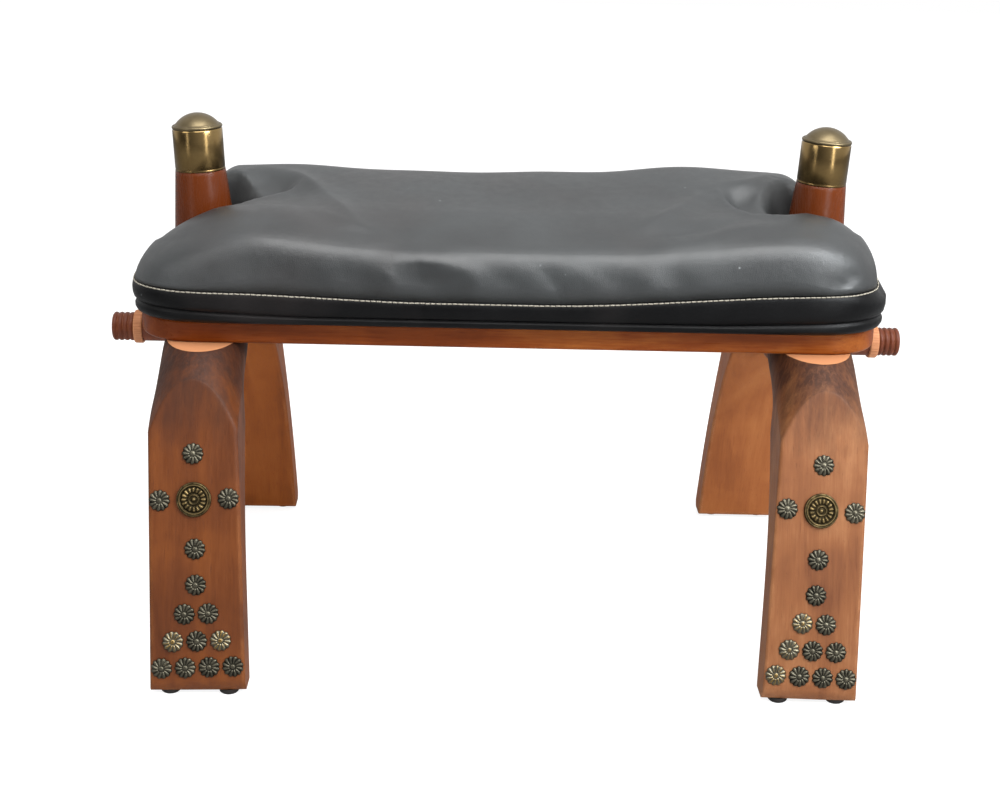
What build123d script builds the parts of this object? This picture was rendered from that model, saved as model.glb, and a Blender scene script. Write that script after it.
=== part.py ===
"""Camel saddle stool: two wishbone end frames, a stretcher, two seat rails and a loose cushion.

Millimetres, +Z up. X runs along the stretcher, -Y is the front. The origin is on the floor,
under the middle of the stool.
"""
from build123d import *
import math
import os

# Whole stool
stretcher_length = 660.0        # over the two reeded ends
overrun = 5.0                   # how far a cutting tool passes the wood
fit = 0.1                       # gap all round a glued or driven fit
seat_gap = 0.3                  # gap beside a part that is only laid in place

# End frames: each is a front and a rear half, glued on the plane through the post
frame_inset = 94.7              # from the end of the stretcher to the middle of the foot
frame_foot_x = stretcher_length / 2 - frame_inset
frame_lean = 2.86               # degrees, outward
foot_width = 73.0               # across the leg, at the floor
shoulder_width = 67.5           # across the leg, where the flat face ends in the arch
foot_reach = 205.6              # outer face of the foot, from the middle of the stool
foot_thickness = 27.5
foot_round = 12.0               # rounded front corner of the foot, before it is levelled
seat_height = 249.5             # flat cut in each shoulder, on which a rail lies
shoulder_reach = 135.4          # where the flat outer face ends in the arch
shoulder_drop = 16.5            # from the seat down to that place
shoulder_height = seat_height - shoulder_drop
face_bow = 6.1                  # how far the outer face bows out of a straight line
side_bow = 3.0                  # how far the sides of the leg bow toward the middle of the stool
wood_under_seat = 35.5          # from the seat down to the under side, at the glue line
crotch_height = seat_height - wood_under_seat
arris_round = 1.6

# Post, turned as a cone on top of each frame
post_base_radius = 30.0
post_base_rise = 8.5            # above the seat
post_base_height = seat_height + post_base_rise
post_neck_radius = 20.3
tenon_wall = 1.0                # how much the tenon is let in for the ferrule

# Ferrule and cap of sheet brass
ferrule_radius = 20.1
ferrule_rise = 121.2            # above the seat
ferrule_bottom = seat_height + ferrule_rise
ferrule_height = 33.6
brass_wall = 0.9
cap_height = 12.3               # from the top of the ferrule to the top of the dome
cap_rim_radius = 20.9
cap_rim_height = 3.6
cap_dome_radius = 17.0          # foot of the dome, inside the rim

# Seat rails
rail_thickness = 18.5
rail_inner_y = 31.1
rail_width = 59.0
rail_inset = 34.0               # from the end of the stretcher
rail_half_length = stretcher_length / 2 - rail_inset
rail_end_round = 44.0           # outer corners, seen from above
rail_arris_round = 3.0

# Stretcher
stretcher_radius = 12.0
stretcher_drop = 13.3           # from the seat down to its axis
stretcher_height = seat_height - stretcher_drop
reed_count = 4
reed_depth = 1.3
knob_length = 17.9              # reeded end outside the collar
collar_width = 7.4
collar_start = stretcher_length / 2 - knob_length - collar_width
collar_radius = 13.9

# Hidden fastenings
tenon_width = 8.0               # loose tenon across the glue line of each post
tenon_reach = 32.0
tenon_rise = 34.5               # above the seat
tenon_bottom = seat_height + tenon_rise
tenon_height = 62.0
screw_radius = 2.4
screw_head_radius = 4.8
screw_length = 45.0
screw_inset = 26.0              # from the inner edge of the rail

# Glides
glide_radius = 7.5
glide_height = 4.1
glide_spacing = 44.8
glide_inset = 1.0               # the pair lies this much nearer the outer face
glide_round = 1.0               # bevel round the lower edge
glide_nail_side = 2.2
glide_nail_length = 12.0

# Brass rosettes, on the outer face of each leg
rosette_radius = 8.2
rosette_thickness = 1.9
petals = 12
petal_depth = 1.2               # how far the rim is drawn in between two petals
rosette_nail_side = 1.5
rosette_nail_length = 8.0
medallion_radius = 13.4
medallion_thickness = 2.6
medallion_rim = 2.6             # width of the raised rim
medallion_floor = 1.0           # thickness inside the rim
rosette_pitch = 18.2            # between neighbours in a row
medallion_pitch = 26.2          # from the medallion to the rosette on either side of it
medallion_row_height = 148.0
# Rows of small rosettes: height above the floor and how many stand side by side
rosette_rows = ((181.0, 1), (112.0, 1), (85.5, 1), (64.0, 2), (43.5, 3), (23.5, 4))
side_rosette_height = 196.0
side_rosette_reach = 119.0

# Cushion
cushion_inset = 30.0            # from the end of the stretcher
cushion_half_length = stretcher_length / 2 - cushion_inset
cushion_bottom_half_depth = 98.0
cushion_seam_half_depth = 103.5
cushion_boxing = 21.0           # height of the sewn side strip
cushion_crown = 70.0            # rise of the rear lobe above the seam
cushion_crown_reach = 60.0      # from the middle line to the crest of each lobe
cover_thickness = 1.4
notch_gap = 0.7                 # between the cushion and the wood in the notch


def at_share(shares, whole):
    """Turn a list of shares into lengths of one size."""
    return [share * whole for share in shares]


# End frame

def outer_face_arc():
    """Bowed outer face of a leg, from the floor up to the arch, in the YZ plane."""
    foot = Vector(-foot_reach, 0)
    bend = Vector(-shoulder_reach, shoulder_height)
    chord = bend - foot
    outward = Vector(-chord.Y, chord.X).normalized()
    middle = (foot + bend) * 0.5 + outward * face_bow
    return ThreePointArc(foot, middle, bend)


def inner_face_curve():
    """Under side of the wishbone, from the inner corner of the foot to the glue line."""
    reach_shares = (0.733, 0.552, 0.435, 0.245)
    height_shares = (0.52, 0.835, 0.945, 0.99)
    points = [Vector(-(foot_reach - foot_thickness), 0)]
    reaches = at_share(reach_shares, foot_reach)
    heights = at_share(height_shares, crotch_height)
    points += [Vector(-y, z) for y, z in zip(reaches, heights)]
    points.append(Vector(0, crotch_height))
    up_the_leg = outer_face_arc() % 0
    return Spline(*points, tangents=(up_the_leg, Vector(1, 0)))


def half_width(height):
    """Half of the leg's width at one height: widest at the foot."""
    return (foot_width - (foot_width - shoulder_width) * height / shoulder_height) / 2


def side_shift(height):
    """How far the bowed leg stands nearer the middle of the stool than its post does."""
    middle = ferrule_bottom / 2
    return side_bow * (1 - ((height - middle) / middle) ** 2)


def leg_taper():
    """Outline of the leg seen from the front: widest at the foot, with bowed sides."""
    middle = ferrule_bottom / 2
    sides = []
    for side in (-1, 1):
        foot = Vector(side * half_width(0), 0)
        bend = Vector(side * half_width(middle) - side_bow, middle)
        top = Vector(side * half_width(ferrule_bottom), ferrule_bottom)
        sides.append(ThreePointArc(foot, bend, top))
    left, right = sides
    outline = make_face([left, Line(left @ 1, right @ 1), right, Line(right @ 0, left @ 0)])
    return extrude(Plane.XZ * outline, amount=foot_reach * 2, both=True)


def leg_board():
    """Sawn blank of a half frame: full width, with bowed faces and softened arrises."""
    outer = outer_face_arc()
    inner = inner_face_curve()
    top_of_blank = Vector(0, ferrule_bottom)
    run_out = (outer % 1) * (ferrule_bottom - shoulder_height)
    outer_top = (outer @ 1) + run_out
    corner = Vector(outer_top.X, ferrule_bottom)
    rest = Polyline(outer @ 1, outer_top, corner, top_of_blank, inner @ 1)
    foot = Line(inner @ 0, outer @ 0)
    outline = make_face([outer, rest, inner, foot])
    board = extrude(Plane.YZ * outline, amount=foot_width, both=True) & leg_taper()
    long_edges = [edge for edge in board.edges() if edge.geom_type != GeomType.LINE]
    return fillet(long_edges, arris_round) - foot_corner(outer)


def foot_corner(outer):
    """Sliver outside the rounded front corner of the foot, along the whole width."""
    up = outer % 0
    corner = outer @ 0
    inward = Vector(1, 0)
    run = foot_round / math.tan(math.radians(up.get_angle(inward)) / 2)
    on_floor = corner + inward * run
    on_face = corner + up * run
    middle = on_floor + Vector(0, foot_round)
    to_corner = (corner - middle).normalized()
    arc = ThreePointArc(on_floor, middle + to_corner * foot_round, on_face)
    beyond = corner + to_corner * foot_round
    below = on_floor - Vector(0, overrun)
    outside = on_face + Vector(-up.Y, up.X) * overrun
    edge = Polyline(on_face, outside, beyond, below, on_floor)
    return extrude(Plane.YZ * make_face([arc, edge]), amount=foot_width, both=True)


def shoulder_envelope():
    """Round form of the shoulder: oval sections that grow until they hold the whole leg."""
    # Reach as a share of the foot's, height as a share of the seat's, slope in degrees,
    # half width and half depth as shares of the foot's width
    section_shares = (
        (0.000, 1.010, 0, 0.428, 0.552),
        (0.220, 0.962, 20, 0.434, 0.510),
        (0.455, 0.882, 33, 0.455, 0.497),
        (0.548, 0.818, 43, 0.486, 0.512),
        (0.636, 0.721, 60, 0.580, 0.607),
        (0.709, 0.581, 68, 0.717, 0.717),
        (0.807, 0.361, 72, 0.900, 0.900),
        (0.929, -0.060, 76, 1.100, 1.100),
    )
    ovals = []
    for reach, height, slope, half_width, half_depth in section_shares:
        angle = math.radians(slope)
        plane = Plane(
            origin=(-side_bow, -reach * foot_reach, height * seat_height),
            x_dir=(1, 0, 0),
            z_dir=(0, -math.cos(angle), -math.sin(angle)),
        )
        ovals.append(plane * Ellipse(half_width * foot_width, half_depth * foot_width))
    return loft(ovals)


def post():
    """Turned post: a cone up to the neck, then the tenon that the ferrule covers."""
    tenon_radius = ferrule_radius - brass_wall - fit
    tenon_top = ferrule_bottom + ferrule_height
    outline = Polyline(
        (0, post_base_height),
        (post_base_radius, post_base_height),
        (post_neck_radius, ferrule_bottom),
        (tenon_radius, ferrule_bottom),
        (tenon_radius, tenon_top),
        (0, tenon_top),
        close=True,
    )
    return revolve(Plane.XZ * make_face(outline), Axis.Z)


def upright_half_frame():
    """Front half of an end frame, standing upright with the post on the Z axis."""
    leg = leg_board() & shoulder_envelope()
    whole = leg + post()
    reach = foot_reach * 2
    front = Pos(0, -reach / 2, reach) * Box(reach, reach, reach * 4)
    return whole & front


def lean(shape):
    """Stand an upright part of the right frame at its place, leaning outward."""
    return Pos(frame_foot_x, 0, 0) * Rot(0, frame_lean, 0) * shape


def frame_x(height):
    """Middle of the right frame at one height."""
    return frame_foot_x + height * math.tan(math.radians(frame_lean))


def seat_cut():
    """Space above the flat seat of the front rail, on the right frame."""
    depth = foot_reach
    height = ferrule_bottom - seat_height
    inner = rail_inner_y - seat_gap
    box = Box(foot_width * 2, depth, height, align=(Align.CENTER, Align.MAX, Align.MIN))
    return Pos(frame_x(seat_height), -inner, seat_height) * box


def floor_cut():
    """Everything below the level foot, which stands on its glides."""
    size = foot_reach * 4
    box = Box(size, size, foot_reach, align=(Align.CENTER, Align.CENTER, Align.MAX))
    return Pos(frame_foot_x, 0, glide_height) * box


def stretcher_bore():
    """Bore for the stretcher, along X."""
    radius = stretcher_radius + fit
    tool = Cylinder(radius, foot_width * 2, rotation=(0, 90, 0))
    return Pos(frame_x(stretcher_height), 0, stretcher_height) * tool


def frame_tenon(gap):
    """Loose tenon across the glue line of the right frame, or with a gap its mortise."""
    tenon = Box(tenon_width + 2 * gap, tenon_reach + 2 * gap, tenon_height + 2 * gap)
    return lean(Pos(0, 0, tenon_bottom + tenon_height / 2) * tenon)


def front_leg():
    """Front half of the right frame with all its cuts."""
    leg = lean(upright_half_frame())
    leg -= seat_cut()
    leg -= floor_cut()
    leg -= stretcher_bore()
    leg -= frame_tenon(fit)
    leg -= rail_screw(fit)
    for tool in glide_nails(fit) + rosette_nails(fit):
        leg -= tool
    return leg


# Brass on the post

def ferrule():
    """Tube of sheet brass round the tenon, upright."""
    tube = Cylinder(ferrule_radius, ferrule_height, align=(Align.CENTER, Align.CENTER, Align.MIN))
    bore = Cylinder(
        ferrule_radius - brass_wall,
        ferrule_height + 2 * overrun,
        align=(Align.CENTER, Align.CENTER, Align.MIN),
    )
    return Pos(0, 0, ferrule_bottom) * (tube - Pos(0, 0, -overrun) * bore)


def cap():
    """Pressed brass cap: a raised rim, a small step and a dome, upright."""
    base = ferrule_bottom + ferrule_height
    rim_top = base + cap_rim_height
    top = base + cap_height
    dome_foot = rim_top + brass_wall
    dome_rise = top - dome_foot
    dome_sphere = (cap_dome_radius ** 2 + dome_rise ** 2) / (2 * dome_rise)
    bevel = cap_rim_height / 3
    shoulder = cap_rim_radius - bevel
    rim = Polyline(
        (shoulder, base),
        (cap_rim_radius, base + bevel),
        (cap_rim_radius, rim_top - bevel),
        (shoulder, rim_top),
        (cap_dome_radius, dome_foot),
    )
    half_turn = math.asin(cap_dome_radius / dome_sphere) / 2
    dome_middle = (dome_sphere * math.sin(half_turn), top - dome_sphere * (1 - math.cos(half_turn)))
    dome = ThreePointArc((cap_dome_radius, dome_foot), dome_middle, (0, top))
    axis_line = Line((0, top), (0, base))
    under = Line((0, base), (shoulder, base))
    return revolve(Plane.XZ * make_face([rim, dome, axis_line, under]), Axis.Z)


# Rails

def rail():
    """Front rail: a board with rounded outer corners and softened arrises."""
    board = Box(2 * rail_half_length, rail_width, rail_thickness, align=(Align.CENTER, Align.MAX, Align.MIN))
    corners = board.edges().filter_by(Axis.Z).sort_by(Axis.Y)[:2]
    board = fillet(corners, rail_end_round)
    board = fillet(board.faces().sort_by(Axis.Z)[-1].edges(), rail_arris_round)
    board = fillet(board.faces().sort_by(Axis.Z)[0].edges(), rail_arris_round)
    board = Pos(0, -rail_inner_y, seat_height) * board
    hole = rail_screw(fit)
    return board - hole - hole.mirror(Plane.YZ)


def rail_screw(gap):
    """Countersunk screw of the front rail on the right frame, or with a gap its hole."""
    top = seat_height + rail_thickness
    head_depth = screw_head_radius - screw_radius
    outline = Polyline(
        (0, top),
        (screw_head_radius + gap, top),
        (screw_radius + gap, top - head_depth),
        (screw_radius + gap, top - screw_length - gap),
        (0, top - screw_length - gap),
        close=True,
    )
    screw = revolve(Plane.XZ * make_face(outline), Axis.Z)
    return Pos(frame_x(seat_height), -rail_inner_y - screw_inset, 0) * screw


# Stretcher

def reed_outline(start, width):
    """Points of one reed of the stretcher's end: its valley and both ends of its crest."""
    rise = width / 3
    return [
        (start, stretcher_radius - reed_depth),
        (start + rise, stretcher_radius),
        (start + width - rise, stretcher_radius),
    ]


def stretcher():
    """Round stretcher with a turned row of reeds on each end."""
    half = stretcher_length / 2
    knob_start = collar_start + collar_width
    end_bevel = 2 * reed_depth
    reed_width = (half - knob_start) / reed_count
    points = [(0, 0), (0, stretcher_radius), (knob_start, stretcher_radius)]
    for index in range(reed_count):
        points += reed_outline(knob_start + index * reed_width, reed_width)
    points[-1:] = [(half - end_bevel, stretcher_radius), (half, stretcher_radius - end_bevel), (half, 0)]
    right = revolve(make_face(Polyline(*points, close=True)), Axis.X)
    whole = right + right.mirror(Plane.YZ)
    return Pos(0, 0, stretcher_height) * whole


def collar():
    """Raw wood ring on the right end of the stretcher."""
    ring = Cylinder(collar_radius, collar_width) - Cylinder(stretcher_radius + fit, collar_width + overrun)
    middle = collar_start + collar_width / 2
    return Pos(middle, 0, stretcher_height) * Rot(0, 90, 0) * ring


# Glides

def glide_places():
    """Middles of the two glides under the right front foot."""
    foot_middle = foot_reach - foot_thickness / 2 + glide_inset
    return [(frame_foot_x + side * glide_spacing / 2, -foot_middle) for side in (-1, 1)]


def glide_nails(gap):
    """Nails of the glides, or with a gap their holes."""
    side = glide_nail_side + 2 * gap
    nail = Box(side, side, glide_nail_length + gap, align=(Align.CENTER, Align.CENTER, Align.MIN))
    return [Pos(x, y, glide_height) * nail for x, y in glide_places()]


def glides():
    """Two flat plastic glides, each with its nail."""
    puck = Cylinder(glide_radius, glide_height, align=(Align.CENTER, Align.CENTER, Align.MIN))
    puck = chamfer(puck.edges().sort_by(Axis.Z)[0], glide_round)
    return [
        Pos(x, y, 0) * puck + nail
        for (x, y), nail in zip(glide_places(), glide_nails(0))
    ]


# Rosettes

def face_point(height):
    """Point of the outer face at one height, and how far it leans back there, in degrees."""
    face = outer_face_arc()
    low, high = 0.0, 1.0
    for _ in range(40):
        middle = (low + high) / 2
        if (face @ middle).Y < height:
            low = middle
        else:
            high = middle
    point = face @ low
    tangent = face % low
    return -point.X, math.degrees(math.atan2(tangent.X, tangent.Y))


def on_face(height, offset):
    """Place just off the outer face of the upright leg: +Z outward, +Y up the face."""
    reach, tilt = face_point(height)
    return Pos(offset - side_shift(height), -reach, height) * Rot(90 - tilt, 0, 0) * Pos(0, 0, fit)


def row_offsets(count):
    """Offsets of the rosettes that stand side by side in one row."""
    return [(index - (count - 1) / 2) * rosette_pitch for index in range(count)]


def rosette_places():
    """Places of the small rosettes on one upright front leg."""
    places = [
        on_face(height, offset)
        for height, count in rosette_rows
        for offset in row_offsets(count)
    ]
    places += [on_face(medallion_row_height, side * medallion_pitch) for side in (-1, 1)]
    return places


def rosette_head(radius, thickness):
    """Fluted flower: ridges run from the tips of the petals to the raised middle."""
    rim = []
    for index in range(2 * petals):
        angle = math.pi * index / petals
        reach = radius if index % 2 == 0 else radius - petal_depth * radius / rosette_radius
        rim.append(Vector(reach * math.cos(angle), reach * math.sin(angle), 0))
    top = Vector(0, 0, thickness)
    faces = [make_face(Polyline(*rim, close=True))]
    for index, corner in enumerate(rim):
        faces.append(make_face(Polyline(rim[index - 1], corner, top, close=True)))
    return Solid(Shell(faces))


def nail_prism(gap):
    """Square nail behind a rosette."""
    side = rosette_nail_side + 2 * gap
    return Box(side, side, rosette_nail_length + gap, align=(Align.CENTER, Align.CENTER, Align.MAX))


def rosette():
    """Small rosette with its nail."""
    return rosette_head(rosette_radius, rosette_thickness) + nail_prism(0)


def medallion():
    """Large rosette: a raised rim, a sunk ring and a flower in the middle."""
    inner = medallion_radius - medallion_rim
    outline = Polyline(
        (0, 0),
        (medallion_radius, 0),
        (medallion_radius - medallion_rim / 2, medallion_thickness),
        (inner, medallion_floor),
        (0, medallion_floor),
        close=True,
    )
    dish = revolve(Plane.XZ * make_face(outline), Axis.Z)
    flower = rosette_head(inner - petal_depth, medallion_thickness - medallion_floor)
    return dish + Pos(0, 0, medallion_floor) * flower + nail_prism(0)


def side_rosette_place():
    """Place of the single rosette on the end side of an upright leg."""
    height = side_rosette_height
    side = half_width(height) - side_shift(height)
    taper = (half_width(0) - half_width(height)) / height
    tilt = 90 - math.degrees(math.atan(taper))
    return Pos(side, -side_rosette_reach, height) * Rot(0, tilt, 0) * Pos(0, 0, fit)


def rosette_nails(gap):
    """Holes for all nails of one right front leg."""
    places = rosette_places() + [on_face(medallion_row_height, 0), side_rosette_place()]
    return [lean(place * nail_prism(gap)) for place in places]


# Cushion

def cushion_section(x, seam_share, rise_shares, depth_shares, crest_share, inset):
    """One cross-section of the cushion, as a closed outline in a YZ plane.

    Rises are those of the front lobe, the middle and the rear lobe; depths are front and rear.
    """
    shoulder_reach_share = 0.86
    shoulder_rise_share = 0.71
    seat = seat_height + rail_thickness + seat_gap
    bottom = seat + inset
    seam = seat + cushion_boxing * seam_share
    front, middle, rear = [seat + cushion_boxing + cushion_crown * rise - inset for rise in rise_shares]
    sides = []
    for side, crest, depth in ((-1, front, depth_shares[0]), (1, rear, depth_shares[1])):
        foot_y = side * (cushion_bottom_half_depth * depth - inset)
        seam_y = side * (cushion_seam_half_depth * depth - inset)
        crest_y = side * (cushion_crown_reach * depth * crest_share + inset / 2)
        shoulder_y = crest_y + (seam_y - crest_y) * shoulder_reach_share / math.sqrt(1.5)
        shoulder_z = seam + (crest - seam) * shoulder_rise_share
        sides.append(((foot_y, bottom), (seam_y, seam), (shoulder_y, shoulder_z), (crest_y, crest)))
    (foot_a, seam_a, shoulder_a, crest_a), (foot_b, seam_b, shoulder_b, crest_b) = sides
    plane = Plane(origin=(x, 0, 0), x_dir=(0, 1, 0), z_dir=(1, 0, 0))
    outline = [
        Line(foot_a, seam_a),
        ThreePointArc(seam_a, shoulder_a, crest_a),
        ThreePointArc(crest_a, (0, middle), crest_b),
        ThreePointArc(crest_b, shoulder_b, seam_b),
        Line(seam_b, foot_b),
        Line(foot_b, foot_a),
    ]
    return plane * make_face(outline)


def cushion_form(inset):
    """Outer form of the cushion, or with an inset the form of its filling.

    The middle and the two ends are shaped one by one, and meet at a common section.
    """
    # Place along the half length, height of the seam, rise in front, in the middle and at the back,
    # depth in front and at the back, reach of the crests
    section_shares = (
        (-1.00, 1.22, 0.20, 0.14, 0.20, 0.60, 0.46, 1.00),
        (-0.94, 1.22, 0.42, 0.26, 0.44, 0.85, 0.80, 0.85),
        (-0.85, 1.22, 0.67, 0.30, 0.76, 0.97, 0.97, 0.75),
        (-0.72, 1.20, 0.88, 0.44, 0.99, 1.00, 1.00, 0.76),
        (-0.58, 1.18, 0.95, 0.85, 1.06, 1.00, 1.00, 0.82),
        (-0.36, 1.09, 0.92, 0.91, 1.02, 1.00, 1.00, 1.00),
        (0.00, 1.03, 0.87, 0.88, 1.01, 1.00, 1.00, 1.00),
        (0.36, 1.21, 0.93, 0.91, 1.08, 1.00, 1.00, 1.00),
        (0.58, 1.42, 0.97, 0.88, 1.14, 1.00, 1.00, 0.82),
        (0.72, 1.53, 0.98, 0.48, 1.11, 1.00, 1.00, 0.76),
        (0.85, 1.57, 0.86, 0.38, 0.98, 0.97, 0.97, 0.75),
        (0.94, 1.57, 0.65, 0.44, 0.72, 0.85, 0.80, 0.85),
        (1.00, 1.57, 0.34, 0.32, 0.42, 0.60, 0.46, 1.00),
    )
    half = cushion_half_length - inset
    sections = [
        cushion_section(along * half, seam, (front, middle, rear), (front_depth, rear_depth), crest, inset)
        for along, seam, front, middle, rear, front_depth, rear_depth, crest in section_shares
    ]
    in_end = 5
    left_end = loft(sections[:in_end])
    middle = loft(sections[in_end - 1:1 - in_end])
    right_end = loft(sections[-in_end:])
    return left_end + middle + right_end


def notch(inset):
    """Open slot for the post in the right end of the cushion."""
    half_width = rail_inner_y - seat_gap + notch_gap + inset
    inner_x = frame_x(seat_height) - rail_inner_y - notch_gap - inset
    length = cushion_half_length - inner_x + overrun
    height = ferrule_bottom - seat_height + 2 * overrun
    slot = Box(length, 2 * half_width, height, align=(Align.MIN, Align.CENTER, Align.MIN))
    return Pos(inner_x, 0, seat_height) * slot


def cushion_solid(inset):
    """Cushion form with both notches."""
    form = cushion_form(inset)
    tool = notch(inset)
    return form - tool - tool.mirror(Plane.YZ)


# Writing the parts

def save(name, shape):
    """Write one node as a STEP file."""
    export_step(shape, "parts/" + name + ".step")


def mirrored(solids, plane):
    """Mirror image of several solids."""
    return [solid.mirror(plane) for solid in solids]


def save_group(name, solids):
    """Write several solids as one node, or a single one by itself."""
    save(name, Compound(solids) if len(solids) > 1 else solids[0])


def save_ends(name, solids):
    """Write solids of the right frame and their mirror image."""
    save_group("right_" + name, solids)
    save_group("left_" + name, mirrored(solids, Plane.YZ))


def save_four(name, shapes):
    """Write solids of the right front leg and their three mirror images."""
    solids = [shape.solid() for shape in shapes]
    rear = mirrored(solids, Plane.XZ)
    save_group("right_front_" + name, solids)
    save_group("left_front_" + name, mirrored(solids, Plane.YZ))
    save_group("right_rear_" + name, rear)
    save_group("left_rear_" + name, mirrored(rear, Plane.YZ))


def all_four(shapes):
    """Solids of the right front leg and their three mirror images."""
    right_front = [shape.solid() for shape in shapes]
    front = right_front + mirrored(right_front, Plane.YZ)
    return front + mirrored(front, Plane.XZ)


def both_ends(shape):
    """A solid of the right frame and its mirror image."""
    solid = shape.solid()
    return [solid, solid.mirror(Plane.YZ)]


def main():
    """Build every part and write it."""
    os.makedirs("parts", exist_ok=True)
    small = rosette()
    rosettes = [lean(place * small) for place in rosette_places() + [side_rosette_place()]]
    save_four("leg", [front_leg()])
    save_four("rosettes", rosettes)
    save_group("medallions", all_four([lean(on_face(medallion_row_height, 0) * medallion())]))
    save_group("glides", all_four(glides()))
    save_ends("frame_tenon", [frame_tenon(0).solid()])
    save_ends("ferrule", [lean(ferrule()).solid()])
    save_group("caps", both_ends(lean(cap())))
    save_group("collars", both_ends(collar()))
    save("stretcher", stretcher())
    front = rail()
    save("front_rail", front)
    save("rear_rail", front.mirror(Plane.XZ))
    save_group("rail_screws", all_four([rail_screw(0)]))
    filling = cushion_solid(cover_thickness)
    save("cushion_filling", filling)
    save("cushion_cover", cushion_solid(0) - filling)


main()
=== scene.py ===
"""Looks of the camel saddle stool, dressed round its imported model.

Sizes are in millimetres, in the frame of the model, and are turned into metres where a mesh is made.
"""
import math
import random

import bpy
import numpy as np
from mathutils import Matrix, Vector
from mathutils.geometry import delaunay_2d_cdt


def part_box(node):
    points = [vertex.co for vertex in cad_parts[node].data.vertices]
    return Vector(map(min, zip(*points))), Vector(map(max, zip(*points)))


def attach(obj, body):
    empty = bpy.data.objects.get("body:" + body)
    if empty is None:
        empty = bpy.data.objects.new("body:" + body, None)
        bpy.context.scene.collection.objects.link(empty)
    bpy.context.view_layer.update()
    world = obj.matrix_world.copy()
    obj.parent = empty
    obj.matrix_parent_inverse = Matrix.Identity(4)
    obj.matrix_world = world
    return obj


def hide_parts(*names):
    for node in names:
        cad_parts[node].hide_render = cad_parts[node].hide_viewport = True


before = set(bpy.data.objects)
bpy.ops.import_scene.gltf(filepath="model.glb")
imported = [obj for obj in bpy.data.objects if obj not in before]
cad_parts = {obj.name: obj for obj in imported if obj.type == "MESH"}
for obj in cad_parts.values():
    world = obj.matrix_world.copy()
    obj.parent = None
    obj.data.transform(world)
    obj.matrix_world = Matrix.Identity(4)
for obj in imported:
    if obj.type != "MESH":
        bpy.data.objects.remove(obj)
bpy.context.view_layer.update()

MM = 0.001

# Camera of the photograph
CAMERA_PLACE = (-37.2, -1348.1, 623.4)
CAMERA_YAW = 1.37  # degrees, toward +X
CAMERA_PITCH = 18.27  # degrees, downward
CAMERA_ROLL = 1.56  # degrees
FOCAL_PIXELS = 1663.7
IMAGE_WIDTH = 1000
SENSOR_WIDTH = 36.0

# Cushion, seen from above
HALF_LENGTH = 300.0
HALF_DEPTH = 103.0
CORNER_START = (228.0, 48.0)  # where the rounding of a corner begins
CORNER_POWER = 2.3
NOTCH_HALF_WIDTH = 31.5
NOTCH_MIDDLE = 247.5  # middle of the notch's round end
NOTCH_MOUTH_ROUND = 9.0
OUTLINE_STEP = 2.4
GRID_STEP = 2.6
HALF = (HALF_LENGTH, HALF_DEPTH)

# Cushion, upward
CUSHION_BOTTOM = 268.4
LOWER_SEAM = 275.0
UPPER_SEAM = 290.3
LOWER_CLIMB = 3.6  # of the lower seam, to either end
RIGHT_CLIMB = 11.5  # of the upper seam, to the right end
LEFT_CLIMB = 4.5
RIGHT_NOTCH_CLIMB = 20.0  # of the upper seam, into a notch
LEFT_NOTCH_CLIMB = 12.0
FRONT_CREST = 345.0
MIDDLE_CREST = 351.0
REAR_CREST = 363.0
CREST_REACH = 60.0  # how far a crest blends past the middle
FRONT_REACH = 72.0  # where the front crest is full
REAR_REACH = 76.0

# Lobes of the crests: rise, place along X and half length
FRONT_LOBES = ((9.0, -202, 62), (10.5, 212, 62))
REAR_LOBES = ((2.5, -190, 60), (8.0, 168, 88))

# Rounding of the top panel: reach from the edge, and power
RIGHT_END = (50, 2.2)
LEFT_END = (92, 1.75)
REAR_END = (62, 1.9)
SEWN_EDGE = (12, 2.2)
LOBE_SLOPE = (58, 1.55)
SEAT_SLOPE = (72, 1.7)
REAR_SLOPE = (52, 2.3)
LOBE_SEWN = 0.40  # share of the rise that the sewn edge takes
SEAT_SEWN = 0.38
NOTCH_ROUND = 19.0
NOTCH_ROUND_LESS = 8.0  # how much less it is at the rear
NOTCH_POWER = 2.2

# Edge of the top panel: rings of points inside the outline, and how far its grid keeps from it
EDGE_ROWS = (1.0, 2.6, 4.8, 7.6)
ROW_SLACK = 0.93
GRID_CLEAR = 9.2
EDGE_BULGE = 2.6
EDGE_BULGE_REACH = 26.0
SAME_PLACE = 0.01

# How far the rear corners, the notch's mouth and the right end's seam are pulled inward
LEFT_DRAW = 28.0
RIGHT_DRAW = 22.0
MOUTH_DRAW = 8.0
END_TUCK = 6.0

# Stitches
STITCH_LENGTH = 3.9
STITCH_PITCH = 4.2
STITCH_STAND = 0.9  # outward of the seam
STITCH_DROP = 1.4  # below the seam
STITCH_JITTER = 0.12
STITCH_SIDES = 6
THREAD_RADIUS = 0.52

# Turned and round pieces
POST_SEGMENTS = 96
STRETCHER_SEGMENTS = 64


# Small helpers

def rgb(red, green, blue):
    """Linear colour with alpha, from one written as on a screen."""
    def linear(value):
        share = value / 255
        return share / 12.92 if share <= 0.04045 else ((share + 0.055) / 1.055) ** 2.4
    return (linear(red), linear(green), linear(blue), 1.0)


def smooth(value, low, high):
    """0 below low, 1 above high, and a soft S between them."""
    share = np.clip((np.asarray(value, float) - low) / (high - low), 0, 1)
    return share * share * (3 - 2 * share)


def bell(value, middle, width):
    """Soft hump of height 1."""
    return np.exp(-((np.asarray(value, float) - middle) / width) ** 2)


def humps(value, table, base=0.0):
    """Soft humps on a base, each given by its height, middle and width."""
    return sum((height * bell(value, middle, width) for height, middle, width in table), base)


def blend(first, second, share):
    """First value at share 0, second at share 1."""
    return first * (1 - share) + second * share


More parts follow.
